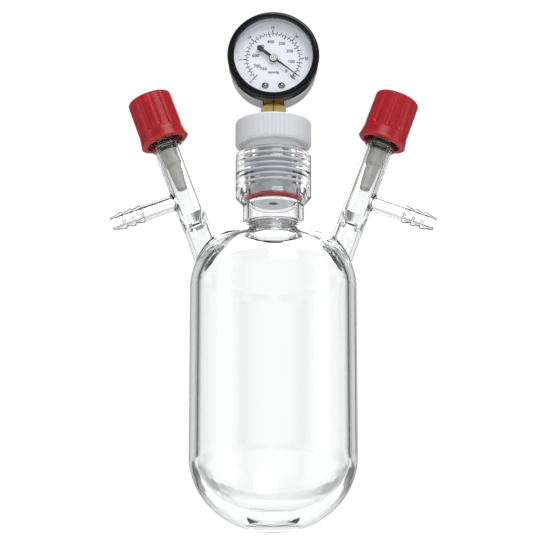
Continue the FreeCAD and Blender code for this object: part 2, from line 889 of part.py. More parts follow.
def movement_plate(y, foot_drop):
    """Upright plate with the two arbors' bearing holes."""
    corner = point(-plate_half, y - plate_thick, gauge_z - foot_drop)
    plate = Part.makeBox(2 * plate_half, plate_thick, foot_drop + plate_high, corner)
    holes = [
        disc(0, 0, y, y - plate_thick, arbor_r + arbor_gap),
        disc(0, axle_drop, y, y - plate_thick, arbor_r + arbor_gap),
    ]
    return plate.cut(holes)


def movement_back_plate():
    plate = movement_plate(back_plate_y, back_plate_drop)
    screws = [
        disc(side * move_screw_x, move_screw_drop, back_plate_y, back_plate_y - plate_thick, pillar_r)
        for side in (-1, 1)
    ]
    return plate.cut(screws)


def movement_front_plate():
    return movement_plate(front_plate_y, front_plate_drop)


def pillar_places():
    return [(-pillar_x, -pillar_high), (pillar_x, -pillar_high), (pillar_x, pillar_low)]


def movement_pillars():
    posts = [
        disc(x, drop, back_plate_y - plate_thick, front_plate_y, pillar_r) for x, drop in pillar_places()
    ]
    return Part.makeCompound(posts)


def movement_screws():
    """Screws that hold the back plate to the socket."""
    screws = []
    for side in (-1, 1):
        x = side * move_screw_x
        head_y = back_plate_y - plate_thick
        shank = disc(x, move_screw_drop, back_plate_y + move_screw_length, head_y, pillar_r)
        head = disc(x, move_screw_drop, head_y, head_y - move_screw_head, move_screw_head_r)
        screws.append(head.fuse(shank))
    return Part.makeCompound(screws)


def pointer():
    half = [
        (pointer_length, pointer_point),
        (0, pointer_root),
        (-pointer_hub_r, pointer_stalk),
        (-pointer_tail + pointer_spade, pointer_stalk),
        (-pointer_tail + 0.8 * pointer_spade, pointer_spade_half),
        (-pointer_tail + 0.3 * pointer_spade, pointer_spade_half),
    ]
    other = [(x, -z) for x, z in reversed(half)]
    blade = Part.Face(outline(half + [(-pointer_tail, 0)] + other)).extrude(point(0, -pointer_thick, 0))
    blade.rotate(point(0, 0, 0), front, pointer_rest)
    blade.translate(point(0, pointer_y, gauge_z))
    hub = disc(0, 0, pointer_y + 0.9, pointer_y - pointer_thick, pointer_hub_r)
    hole = disc(0, 0, pointer_y + 0.9, pointer_y, arbor_r)
    return blade.fuse(hub).cut(hole)


def pointer_cap():
    back = pointer_y - pointer_thick
    return disc(0, 0, back, back - 0.5, pointer_cap_r)


# Valves, made along +Z on the right-hand barrel's axis

def valve_knob():
    top = knob_low + knob_length
    bore_r = arm_thread_r + knob_thread_gap
    shell = lathe([
        (knob_mouth_r, knob_low),
        (knob_rim_r - knob_rim_bevel, knob_low),
        (knob_rim_r, knob_low + knob_rim_bevel),
        (knob_rim_r - knob_rim_waist, knob_low + knob_rim_land),
        (knob_body_r, knob_low + knob_collar),
        (knob_top_r, top - knob_round),
        (
            circle_mid(knob_top_r - knob_round, top - knob_round, knob_round, 45),
            (knob_top_r - knob_round, top),
        ),
        (0, top),
        (0, top - knob_roof + stub_gap),
        (stub_r + stub_gap, top - knob_roof + stub_gap),
        (stub_r + stub_gap, top - knob_roof - stub_length),
        (stub_r + stub_socket_wall, top - knob_roof - stub_length),
        (stub_r + stub_socket_wall, top - knob_roof),
        (bore_r, top - knob_roof),
        (bore_r, knob_low + knob_mouth_depth),
        (knob_mouth_r, knob_low + knob_mouth_depth),
    ])
    cutters = []
    low = knob_low + knob_collar + knob_flute_r
    for flute in range(knob_flutes):
        x, y = circle_mid(0, 0, knob_body_r + knob_flute_r - knob_flute_depth, 360 * flute / knob_flutes)
        groove = Part.makeCylinder(knob_flute_r, knob_length, point(x, y, low), up)
        cutters.append(groove.fuse(Part.makeSphere(knob_flute_r, point(x, y, low))))
    return shell.cut(cutters)


def valve_spindle():
    top = knob_low + knob_length - knob_roof
    shoulder = top - stub_length - spindle_head_gap
    body = lathe([
        (0, spindle_tip),
        (spindle_tip_r - spindle_round, spindle_tip),
        (
            circle_mid(spindle_tip_r - spindle_round, spindle_tip + spindle_round, spindle_round, -45),
            (spindle_tip_r, spindle_tip + spindle_round),
        ),
        (spindle_low_r, spindle_tip + spindle_taper),
        (spindle_low_r, spindle_step),
        (spindle_up_r, spindle_step + spindle_step_length),
        (spindle_up_r, shoulder),
        (stub_r, shoulder),
        (stub_r, top),
        (0, top),
    ])
    return body.cut([seal_groove(at) for at in seal_places()])


def seal_places():
    return [seal_at, seal_at + seal_spacing]


def seal_ring_r():
    """Circle of the seal's cord, so that the seal just runs in the bore."""
    return arm_bore_r - seal_gap - seal_cord / 2


def seal_groove(at):
    half = seal_cord / 2 + seal_groove_play
    inner = seal_ring_r() - seal_cord / 2
    return lathe([
        (inner, at - half),
        (arm_bore_r, at - half),
        (arm_bore_r, at + half),
        (inner, at + half),
    ])


def spindle_o_rings():
    rings = [Part.makeTorus(seal_ring_r(), seal_cord / 2, point(0, 0, at), up) for at in seal_places()]
    return Part.makeCompound(rings)


parts = {
    "flask": flask(),
    "bushing": bushing(),
    "bushing_o_ring": bushing_o_ring(),
    "brass_adapter": brass_adapter(),
    "gauge_socket": gauge_socket(),
    "gauge_case": gauge_case(),
    "case_screws": case_screws(),
    "gauge_bezel": gauge_bezel(),
    "gauge_window": gauge_window(),
    "window_ring": window_ring(),
    "dial_plate": dial_plate(),
    "dial_screws": dial_screws(),
    "bourdon_tube": bourdon_tube(),
    "tube_tip": tube_tip(),
    "gauge_link": gauge_link(),
    "sector_gear": sector_gear(),
    "pinion_arbor": pinion_arbor(),
    "movement_back_plate": movement_back_plate(),
    "movement_front_plate": movement_front_plate(),
    "movement_pillars": movement_pillars(),
    "movement_screws": movement_screws(),
    "pointer": pointer(),
    "pointer_cap": pointer_cap(),
}
for name, make in (("knob", valve_knob), ("spindle", valve_spindle), ("spindle_o_rings", spindle_o_rings)):
    right = to_arm(make())
    parts["right_" + name] = right
    parts["left_" + name] = mirrored(right)

os.makedirs("parts", exist_ok=True)
for name, shape in parts.items():
    print(name, shape.isValid(), len(shape.Solids), round(shape.Volume, 2))
    shape.exportStep("parts/" + name + ".step")
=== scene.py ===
import bpy
import bmesh
import math
from mathutils import Matrix, Vector


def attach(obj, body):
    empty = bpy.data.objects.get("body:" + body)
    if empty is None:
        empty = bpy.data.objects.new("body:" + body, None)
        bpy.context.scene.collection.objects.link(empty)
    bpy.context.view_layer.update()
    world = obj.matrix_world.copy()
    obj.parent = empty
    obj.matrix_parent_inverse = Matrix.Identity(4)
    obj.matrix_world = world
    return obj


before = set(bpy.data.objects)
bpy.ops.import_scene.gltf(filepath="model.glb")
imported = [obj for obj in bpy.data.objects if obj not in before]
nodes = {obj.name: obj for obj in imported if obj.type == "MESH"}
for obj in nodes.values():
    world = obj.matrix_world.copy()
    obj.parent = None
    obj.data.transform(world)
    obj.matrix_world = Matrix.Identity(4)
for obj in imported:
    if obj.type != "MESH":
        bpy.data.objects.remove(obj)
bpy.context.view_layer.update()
print("frame loaded:", len(nodes), "CAD nodes")

mm = 0.001


def srgb(code, alpha=1.0):
    parts = [int(code[i:i + 2], 16) / 255 for i in (1, 3, 5)]
    linear = [c / 12.92 if c <= 0.04045 else ((c + 0.055) / 1.055) ** 2.4 for c in parts]
    return (*linear, alpha)


def addNode(owner, kind, settings=None, inputs=None):
    # settings are the node's own properties; inputs are keyed by name or number and hold
    # a value, a hex colour, or the node or socket that feeds them
    tree = owner.node_tree
    node = tree.nodes.new(kind)
    for name, value in (settings or {}).items():
        setattr(node, name, value)
    for name, value in (inputs or {}).items():
        socket = node.inputs[name]
        if isinstance(value, bpy.types.Node):
            value = value.outputs[0]
        if isinstance(value, bpy.types.NodeSocket):
            tree.links.new(value, socket)
        elif isinstance(value, str):
            socket.default_value = srgb(value)
        else:
            socket.default_value = value
    return node


def setStops(ramp, stops):
    # places from 0 to 1, each with a hex colour or a brightness
    elements = ramp.color_ramp.elements
    while len(elements) < len(stops):
        elements.new(0.5)
    for stop, (spot, colour) in zip(elements, stops):
        stop.position = spot
        stop.color = srgb(colour) if isinstance(colour, str) else (colour, colour, colour, 1)


def startMaterial(name):
    material = bpy.data.materials.new(name)
    material.use_nodes = True
    material.node_tree.nodes.clear()
    return material


def dress(material, *names):
    # gives every slot of the named CAD nodes this finish
    for name in names:
        mesh = nodes[name].data
        if not mesh.materials:
            mesh.materials.append(material)
        for index in range(len(mesh.materials)):
            mesh.materials[index] = material


# Camera: far off, square to the front, looking up a little
view = {
    "rise": 16.0,          # degrees that it looks upwards
    "distance": 1.8,       # metres
    "aimHeight": 0.1541,
    "aimAcross": 0.001,    # the flask stands a touch left of the picture's middle
    "across": 0.331,       # width of the picture at the object
    "sensorMm": 36,
    "nearest": 0.01,
    "farthest": 50,
}


def makeCamera():
    data = bpy.data.cameras.new("camera")
    camera = bpy.data.objects.new("camera", data)
    bpy.context.scene.collection.objects.link(camera)
    tilt = math.radians(view["rise"])
    back = view["distance"] * math.cos(tilt)
    down = view["distance"] * math.sin(tilt)
    camera.location = (view["aimAcross"], -back, view["aimHeight"] - down)
    camera.rotation_euler = (math.pi / 2 + tilt, 0, 0)
    data.sensor_width = view["sensorMm"]
    data.lens = view["sensorMm"] * view["distance"] / view["across"]
    data.clip_start = view["nearest"]
    data.clip_end = view["farthest"]
    bpy.context.scene.camera = camera


makeCamera()

# Studio: a white field with dark flags all round it, which only glass and gloss see
studio = {
    "roomFront": 1.0,      # what lights matt surfaces from the front, fading to the back
    "roomBack": 0.3,
    # flags in the circle, then the cosine round a flag, as 0 to 1, and the brightness there
    "flagSets": [
        # level ones, between each two of the eight usual sides
        (8, [(0.16, 0.16), (0.4, 0.6), (0.7, 1.0)]),
        # broad ones higher up, which the upward view meets through the walls
        (4, [(0.0, 0.02), (0.03, 0.3), (0.08, 0.5), (0.2, 0.68), (0.4, 0.82), (0.6, 1.0)]),
    ],
    "riseFrom": 0.04,      # height of the ray's direction over which the one set gives way to the other
    "riseTo": 0.12,
    "sinkFrom": -0.26,     # and below which the level flags end, for the thick base and views from above
    "sinkTo": -0.20,
    "wideSteps": [-0.24, -0.18, -0.06, -0.02],   # heights where they widen, for the flask's lower corners
    "widen": 0.34,
    "glassShare": 1.07,    # brightness of the field through glass, which makes up for its surfaces
    "roofFrom": 0.50,      # height of the ray's direction at which the dark roof starts and is full
    "roofTo": 0.85,
    "roofShade": 0.12,
    "glossShare": 0.38,    # brightness of the field in reflections
    "floorSize": 3.0,
    "floorFrom": 0.2,      # metres from the middle over which it fades
    "floorTo": 0.7,
    "floorDropMm": 0.2,    # just under the flask's foot, so the two faces don't coincide
    "floorColour": "#f4f4f2",
    "floorRoughness": 0.8,
    "lamps": [
        # name, place in metres, width and height, watts
        ("leftStrip", (-1.06, -0.39, 0.3), (0.38, 1.1), 0.8),
        ("rightStrip", (1.06, -0.39, 0.3), (0.38, 1.1), 0.9),
        ("leftEdge", (-1.11, -0.2, 0.3), (0.08, 1.1), 0.5),
        ("rightEdge", (1.11, -0.2, 0.3), (0.08, 1.1), 0.6),
        ("frontBox", (0.25, -0.85, 1.2), (0.8, 0.8), 9.0),
        ("backBox", (0.1, 0.9, 0.9), (0.7, 0.7), 3.0),
    ],
}


def makeWorld():
    world = bpy.data.worlds.new("whiteField")
    world.use_nodes = True
    world.node_tree.nodes.clear()
    bpy.context.scene.world = world
    path = addNode(world, "ShaderNodeLightPath")
    compass = addNode(world, "ShaderNodeTexCoord")
    way = addNode(world, "ShaderNodeSeparateXYZ", {}, {0: compass.outputs["Generated"]})
    turn = addNode(world, "ShaderNodeMath", {"operation": "ARCTAN2"}, {
        0: way.outputs["X"], 1: way.outputs["Y"],
    })
    half = addNode(world, "ShaderNodeMapRange", {}, {
        "Value": way.outputs["Z"], "From Min": -1.0, "From Max": 1.0,
    })
    wide = addNode(world, "ShaderNodeValToRGB", {}, {"Fac": half})
    setStops(wide, [((z + 1) / 2, shade) for z, shade in zip(studio["wideSteps"], (0, 1, 1, 0))])
    loss = addNode(world, "ShaderNodeMath", {"operation": "MULTIPLY"}, {0: wide, 1: -studio["widen"]})
    sets = []
    for count, steps in studio["flagSets"]:
        turns = addNode(world, "ShaderNodeMath", {"operation": "MULTIPLY"}, {0: turn, 1: float(count)})
        wave = addNode(world, "ShaderNodeMath", {"operation": "COSINE"}, {0: turns})
        share = addNode(world, "ShaderNodeMapRange", {}, {"Value": wave, "From Min": -1.0, "From Max": 1.0})
        narrow = addNode(world, "ShaderNodeMath", {"operation": "ADD"}, {0: share, 1: loss})
        flagRamp = addNode(world, "ShaderNodeValToRGB", {}, {"Fac": narrow})
        setStops(flagRamp, steps)
        sets.append(flagRamp)
    rise = addNode(world, "ShaderNodeMapRange", {"interpolation_type": "SMOOTHSTEP"}, {
        "Value": way.outputs["Z"], "From Min": studio["riseFrom"], "From Max": studio["riseTo"],
    })
    sink = addNode(world, "ShaderNodeMapRange", {"interpolation_type": "SMOOTHSTEP"}, {
        "Value": way.outputs["Z"], "From Min": studio["sinkFrom"], "From Max": studio["sinkTo"],
    })
    lowFlags = addNode(world, "ShaderNodeMix", {"data_type": "RGBA"}, {0: sink, 6: "#ffffff", 7: sets[0]})
    flags = addNode(world, "ShaderNodeMix", {"data_type": "RGBA"}, {
        0: rise, 6: lowFlags.outputs[2], 7: sets[1],
    })
    roof = addNode(world, "ShaderNodeMapRange", {"interpolation_type": "SMOOTHSTEP"}, {
        "Value": way.outputs["Z"], "From Min": studio["roofFrom"], "From Max": studio["roofTo"],
        "To Min": 1.0, "To Max": studio["roofShade"],
    })
    field = addNode(world, "ShaderNodeMath", {"operation": "MULTIPLY"}, {0: flags.outputs[2], 1: roof})
    gloss = addNode(world, "ShaderNodeMath", {"operation": "MULTIPLY"}, {0: field, 1: studio["glossShare"]})
    matt = addNode(world, "ShaderNodeMapRange", {}, {
        "Value": way.outputs["Y"], "From Min": -1.0, "From Max": 1.0,
        "To Min": studio["roomFront"], "To Max": studio["roomBack"],
    })
    room = addNode(world, "ShaderNodeMix", {"data_type": "FLOAT"}, {
        0: path.outputs["Is Glossy Ray"], 2: matt, 3: gloss,
    })
    lens = addNode(world, "ShaderNodeMath", {"operation": "MULTIPLY"}, {0: field, 1: studio["glassShare"]})
    glass = addNode(world, "ShaderNodeMix", {"data_type": "FLOAT"}, {
        0: path.outputs["Is Transmission Ray"], 2: room, 3: lens,
    })
    level = addNode(world, "ShaderNodeMix", {"data_type": "FLOAT"}, {
        0: path.outputs["Is Camera Ray"], 2: glass, 3: 1.0,
    })
    light = addNode(world, "ShaderNodeBackground", {}, {"Color": "#ffffff", "Strength": level})
    addNode(world, "ShaderNodeOutputWorld", {}, {"Surface": light})


def makeFloor():
    half = studio["floorSize"] / 2
    mesh = bpy.data.meshes.new("floor")
    corners = [(-half, -half, 0), (half, -half, 0), (half, half, 0), (-half, half, 0)]
    mesh.from_pydata(corners, [], [(0, 1, 2, 3)])
    floor = bpy.data.objects.new("floor", mesh)
    bpy.context.scene.collection.objects.link(floor)
    floor.location.z = -studio["floorDropMm"] * mm
    material = startMaterial("paperFloor")
    paper = addNode(material, "ShaderNodeBsdfPrincipled", {}, {
        "Base Color": studio["floorColour"], "Roughness": studio["floorRoughness"],
    })
    clear = addNode(material, "ShaderNodeBsdfTransparent")
    side = addNode(material, "ShaderNodeNewGeometry")
    path = addNode(material, "ShaderNodeLightPath")
    # see-through from below, where the photograph's view comes from, and through the glass
    through = addNode(material, "ShaderNodeMath", {"operation": "MAXIMUM"}, {
        0: side.outputs["Backfacing"], 1: path.outputs["Is Transmission Ray"],
    })
    # far off it melts into the white behind it
    place = addNode(material, "ShaderNodeTexCoord")
    away = addNode(material, "ShaderNodeVectorMath", {"operation": "LENGTH"}, {0: place.outputs["Object"]})
    fade = addNode(material, "ShaderNodeMapRange", {"interpolation_type": "SMOOTHSTEP"}, {
        "Value": away.outputs["Value"], "From Min": studio["floorFrom"], "From Max": studio["floorTo"],
    })
    gone = addNode(material, "ShaderNodeMath", {"operation": "MAXIMUM"}, {0: through, 1: fade})
    both = addNode(material, "ShaderNodeMixShader", {}, {0: gone, 1: paper, 2: clear})
    addNode(material, "ShaderNodeOutputMaterial", {}, {"Surface": both})
    mesh.materials.append(material)


def makeLamps():
    aim = Vector((0, 0, view["aimHeight"]))
    for name, place, size, watts in studio["lamps"]:
        data = bpy.data.lights.new(name, "AREA")
        data.shape = "RECTANGLE"
        data.size, data.size_y = size
        data.energy = watts
        lamp = bpy.data.objects.new(name, data)
        bpy.context.scene.collection.objects.link(lamp)
        lamp.location = place
        lamp.rotation_euler = (aim - Vector(place)).to_track_quat("-Z", "Y").to_euler()


makeWorld()
makeFloor()
makeLamps()
bpy.context.scene.view_settings.view_transform = "Standard"
print("studio ready")

# Borosilicate glass, blown and fire polished: colourless, quite smooth, its drawn walls a little wavy, with
# painted shade along the edges of its walls
flaskGlass = {
    "ior": 1.474,
    "tint": "#fafbfb",
    "waveMm": 18.0,        # a blown wall wavers over about a fingertip's width
    "waveDepthMm": 0.01,
    "shadowTint": "#f4f7f7",
    "rim": "#4a5153",      # painted shade where a wall is seen edge on, for the dark its bending of light shows there
    "rimFrom": 0.64,
    "armRim": "#14181a",   # the narrow tubes get a darker and broader painted edge shade
    "armRimFrom": 0.08,
    "armFromMm": 52.0,     # distance from the axis over which the body's edge gives way to theirs
    "armToMm": 60.0,
}


def makeFlaskGlass():
    material = startMaterial("borosilicateBlown")
    place = addNode(material, "ShaderNodeTexCoord")
    waver = addNode(material, "ShaderNodeTexNoise", {}, {
        "Vector": place.outputs["Object"], "Scale": 1 / (flaskGlass["waveMm"] * mm), "Detail": 1.0,
    })
    waves = addNode(material, "ShaderNodeBump", {}, {
        "Height": waver, "Distance": flaskGlass["waveDepthMm"] * mm, "Strength": 1.0,
    })
    flat = addNode(material, "ShaderNodeVectorMath", {"operation": "MULTIPLY"}, {
        0: place.outputs["Object"], 1: (1.0, 1.0, 0.0),
    })
    away = addNode(material, "ShaderNodeVectorMath", {"operation": "LENGTH"}, {0: flat})
    arm = addNode(material, "ShaderNodeMapRange", {}, {
        "Value": away.outputs["Value"],
        "From Min": flaskGlass["armFromMm"] * mm, "From Max": flaskGlass["armToMm"] * mm,
    })
    start = addNode(material, "ShaderNodeMapRange", {}, {
        "Value": arm, "To Min": flaskGlass["rimFrom"], "To Max": flaskGlass["armRimFrom"],
    })
    rim = addNode(material, "ShaderNodeMix", {"data_type": "RGBA"}, {
        0: arm, 6: flaskGlass["rim"], 7: flaskGlass["armRim"],
    })
    # painted shade: the glass's colour goes dark where a wall is seen edge on
    facing = addNode(material, "ShaderNodeLayerWeight", {}, {"Blend": 0.5})
    edgeOn = addNode(material, "ShaderNodeMapRange", {}, {
        "Value": facing.outputs["Facing"], "From Min": start, "From Max": 1.0,
    })
    tint = addNode(material, "ShaderNodeMix", {"data_type": "RGBA"}, {
        0: edgeOn, 6: flaskGlass["tint"], 7: rim.outputs[2],
    })
    glass = addNode(material, "ShaderNodeBsdfPrincipled", {}, {
        "Base Color": tint.outputs[2], "Roughness": 0.0, "IOR": flaskGlass["ior"],
        "Transmission Weight": 1.0, "Normal": waves,
    })
    clear = addNode(material, "ShaderNodeBsdfTransparent", {}, {"Color": flaskGlass["shadowTint"]})
    path = addNode(material, "ShaderNodeLightPath")
    # lamps reach what stands inside the glass
    both = addNode(material, "ShaderNodeMixShader", {}, {
        0: path.outputs["Is Shadow Ray"], 1: glass, 2: clear,
    })
    addNode(material, "ShaderNodeOutputMaterial", {}, {"Surface": both})
    return material


dress(makeFlaskGlass(), "flask")
print("flask dressed")

# White PTFE, turned: waxy satin, tool marks round the shank, fine grip lines up the head; painted shade down
# in the grip lines, the thread and the bore
bushingPtfe = {
    "colour": "#d6d7db",
    "shade": "#a9acb2",         # in the grip lines
    "groove": "#8d8f94",        # painted shade down in the thread and inside the bore
    "grooveMm": 16.75,
    "crestMm": 17.25,
    "noseMm": 14.5,             # the nose below the ring stays pale, without painted shade
    "boreMm": 3.0,
    "ior": 1.36,
    "roughness": 0.32,
    "gripLines": 180,           # about 0.8 mm apart
    "gripDepthMm": 0.06,
    "gripLowMm": 235.8,
    "gripHighMm": 249.3,
    "gripFadeMm": 0.3,          # the lines run out over this length
    "shadeTo": 0.4,             # height of the wave, from -1 to 1, at which a line's shade ends
    "toolPitchMm": 0.5,         # real feed about 0.15, too fine to show
    "toolDepthMm": 0.012,
}


def makeBushingPtfe():
    part = bushingPtfe
    material = startMaterial("ptfeTurned")
    place = addNode(material, "ShaderNodeTexCoord")
    spot = addNode(material, "ShaderNodeSeparateXYZ", {}, {0: place.outputs["Object"]})
    turn = addNode(material, "ShaderNodeMath", {"operation": "ARCTAN2"}, {
        0: spot.outputs["X"], 1: spot.outputs["Y"],
    })
    turns = addNode(material, "ShaderNodeMath", {"operation": "MULTIPLY"}, {
        0: turn, 1: float(part["gripLines"]),
    })
    wave = addNode(material, "ShaderNodeMath", {"operation": "COSINE"}, {0: turns})
    low = addNode(material, "ShaderNodeMapRange", {}, {
        "Value": spot.outputs["Z"],
        "From Min": (part["gripLowMm"] - part["gripFadeMm"]) * mm, "From Max": part["gripLowMm"] * mm,
    })
    high = addNode(material, "ShaderNodeMapRange", {}, {
        "Value": spot.outputs["Z"],
        "From Min": part["gripHighMm"] * mm, "From Max": (part["gripHighMm"] + part["gripFadeMm"]) * mm,
        "To Min": 1.0, "To Max": 0.0,
    })
    band = addNode(material, "ShaderNodeMath", {"operation": "MULTIPLY"}, {0: low, 1: high})
    lines = addNode(material, "ShaderNodeMath", {"operation": "MULTIPLY"}, {0: wave, 1: band})
    grip = addNode(material, "ShaderNodeBump", {}, {
        "Height": lines, "Distance": part["gripDepthMm"] * mm, "Strength": 1.0,
    })
    feed = addNode(material, "ShaderNodeMath", {"operation": "MULTIPLY"}, {
        0: spot.outputs["Z"], 1: 2 * math.pi / (part["toolPitchMm"] * mm),
    })
    marks = addNode(material, "ShaderNodeMath", {"operation": "SINE"}, {0: feed})
    tool = addNode(material, "ShaderNodeBump", {}, {
        "Height": marks, "Distance": part["toolDepthMm"] * mm, "Strength": 1.0, "Normal": grip,
    })
    shade = addNode(material, "ShaderNodeMapRange", {}, {
        "Value": lines, "From Min": -1.0, "From Max": part["shadeTo"], "To Min": 1.0, "To Max": 0.0,
    })
    grey = addNode(material, "ShaderNodeMath", {"operation": "MULTIPLY"}, {0: shade, 1: band})
    lined = addNode(material, "ShaderNodeMix", {"data_type": "RGBA"}, {
        0: grey, 6: part["colour"], 7: part["shade"],
    })
    flat = addNode(material, "ShaderNodeCombineXYZ", {}, {0: spot.outputs["X"], 1: spot.outputs["Y"]})
    away = addNode(material, "ShaderNodeVectorMath", {"operation": "LENGTH"}, {0: flat})
    # painted shade: darker between the thread's crests and inside the bore
    deep = addNode(material, "ShaderNodeMapRange", {"interpolation_type": "SMOOTHSTEP"}, {
        "Value": away.outputs["Value"], "From Min": part["grooveMm"] * mm, "From Max": part["crestMm"] * mm,
        "To Min": 1.0, "To Max": 0.0,
    })
    wall = addNode(material, "ShaderNodeMath", {"operation": "GREATER_THAN"}, {
        0: away.outputs["Value"], 1: part["noseMm"] * mm,
    })
    thread = addNode(material, "ShaderNodeMath", {"operation": "MULTIPLY"}, {0: deep, 1: wall})
    bore = addNode(material, "ShaderNodeMath", {"operation": "LESS_THAN"}, {
        0: away.outputs["Value"], 1: part["boreMm"] * mm,
    })
    dark = addNode(material, "ShaderNodeMath", {"operation": "MAXIMUM"}, {0: thread, 1: bore})
    colour = addNode(material, "ShaderNodeMix", {"data_type": "RGBA"}, {
        0: dark, 6: lined.outputs[2], 7: part["groove"],
    })
    plastic = addNode(material, "ShaderNodeBsdfPrincipled", {}, {
        "Base Color": colour.outputs[2], "Roughness": part["roughness"], "IOR": part["ior"], "Normal": tool,
    })
    addNode(material, "ShaderNodeOutputMaterial", {}, {"Surface": plastic})
    return material


dress(makeBushingPtfe(), "bushing")

# Silicone rubber, moulded: deep saturated red, soft sheen, faint mottling
bushingSeal = {
    "colour": "#a50c03",
    "deep": "#8c0802",
    "ior": 1.41,
    "specular": 0.12,      # low, so that less of the white field shows on the red
    "roughness": 0.4,
    "mottleMm": 1.2,
    "depthMm": 0.01,
}


def makeBushingSeal():
    material = startMaterial("siliconeMoulded")
    place = addNode(material, "ShaderNodeTexCoord")
    mottle = addNode(material, "ShaderNodeTexNoise", {}, {
        "Vector": place.outputs["Object"], "Scale": 1 / (bushingSeal["mottleMm"] * mm), "Detail": 3.0,
    })
    colour = addNode(material, "ShaderNodeMix", {"data_type": "RGBA"}, {
        0: mottle, 6: bushingSeal["colour"], 7: bushingSeal["deep"],
    })
    skin = addNode(material, "ShaderNodeBump", {}, {
        "Height": mottle, "Distance": bushingSeal["depthMm"] * mm, "Strength": 1.0,
    })
    rubber = addNode(material, "ShaderNodeBsdfPrincipled", {}, {
        "Base Color": colour.outputs[2], "Roughness": bushingSeal["roughness"], "IOR": bushingSeal["ior"],
        "Specular IOR Level": bushingSeal["specular"], "Normal": skin,
    })
    addNode(material, "ShaderNodeOutputMaterial", {}, {"Surface": rubber})
    return material


dress(makeBushingSeal(), "bushing_o_ring")
print("closure dressed")

# Free-cutting brass, turned and milled bright: warm yellow, straight mill lines, a darker skin in patches
# along them, a painted dark reflection down the hexagon's corners
brassBar = {
    "colour": "#f2d382",
    "dull": "#b08a45",     # a darker skin in patches, and the noise over which it comes in
    "dullFrom": 0.35,
    "dullTo": 0.75,
    "dullShare": 0.6,
    "corners": 6.0,
    "corner": "#3f2f14",   # painted dark reflection along the hexagon's corners, one of which faces the front
    "cornerFrom": 0.955,
    "cornerShare": 0.9,
    "roughness": 0.28,
    "lineMm": 0.35,
    "stretch": (0.15, 0.15, 1.0),   # draws the noise out into level lines
    "depthMm": 0.006,
}


def makeBrassBar(name, finish):
    material = startMaterial(name)
    place = addNode(material, "ShaderNodeTexCoord")
    stretch = addNode(material, "ShaderNodeMapping", {}, {
        "Vector": place.outputs["Object"], "Scale": brassBar["stretch"],
    })
    lines = addNode(material, "ShaderNodeTexNoise", {}, {
        "Vector": stretch, "Scale": 1 / (brassBar["lineMm"] * mm), "Detail": 2.0,
    })
    tone = addNode(material, "ShaderNodeMapRange", {}, {
        "Value": lines, "From Min": brassBar["dullFrom"], "From Max": brassBar["dullTo"],
        "To Min": 0.0, "To Max": brassBar["dullShare"],
    })
    mixed = addNode(material, "ShaderNodeMix", {"data_type": "RGBA"}, {
        0: tone, 6: finish["colour"], 7: brassBar["dull"],
    })
    skin = addNode(material, "ShaderNodeBump", {}, {
        "Height": lines, "Distance": brassBar["depthMm"] * mm, "Strength": 1.0,
    })
    # painted reflection: a dark line down each corner of the hexagon
    spot = addNode(material, "ShaderNodeSeparateXYZ", {}, {0: place.outputs["Object"]})
    turn = addNode(material, "ShaderNodeMath", {"operation": "ARCTAN2"}, {
        0: spot.outputs["X"], 1: spot.outputs["Y"],
    })
    turns = addNode(material, "ShaderNodeMath", {"operation": "MULTIPLY"}, {0: turn, 1: brassBar["corners"]})
    wave = addNode(material, "ShaderNodeMath", {"operation": "COSINE"}, {0: turns})
    corner = addNode(material, "ShaderNodeMapRange", {}, {
        "Value": wave, "From Min": brassBar["cornerFrom"], "From Max": 1.0,
        "To Min": 0.0, "To Max": finish["cornerShare"],
    })
    cornerReflected = addNode(material, "ShaderNodeMix", {"data_type": "RGBA"}, {
        0: corner, 6: mixed.outputs[2], 7: brassBar["corner"],
    })
    metal = addNode(material, "ShaderNodeBsdfPrincipled", {}, {
        "Base Color": cornerReflected.outputs[2], "Metallic": 1.0, "Roughness": finish["roughness"], "Normal": skin,
    })
    addNode(material, "ShaderNodeOutputMaterial", {}, {"Surface": metal})
    return material


dress(makeBrassBar("brassMilled", brassBar), "brass_adapter")

# Brass as cast and stamped, for the socket and the works: a deeper yellow and duller, no painted reflection
# on the corners
brassStamped = {"colour": "#c4994e", "roughness": 0.36, "cornerShare": 0.0}

dress(
    makeBrassBar("brassStamped", brassStamped),
    "gauge_socket", "bourdon_tube", "tube_tip", "gauge_link", "sector_gear", "pinion_arbor",
    "movement_back_plate", "movement_front_plate", "movement_pillars",
)

gaugeAxisMm = 288.75       # height of the axis that the case, the dial and the hub share

# Steel sheet, spun to a drum and lacquered light grey: soft streaks run round the drum
caseSteel = {
    "colour": "#dcdfe4",
    "streak": "#c4c7cd",
    "metallic": 0.25,
    "roughness": 0.3,
    "streakMm": 0.6,       # spinning marks, drawn coarser than the real 0.2 to show
    "radianMm": 1.5,       # what a radian round the drum counts as, which draws them out
    "depthMm": 0.01,
}


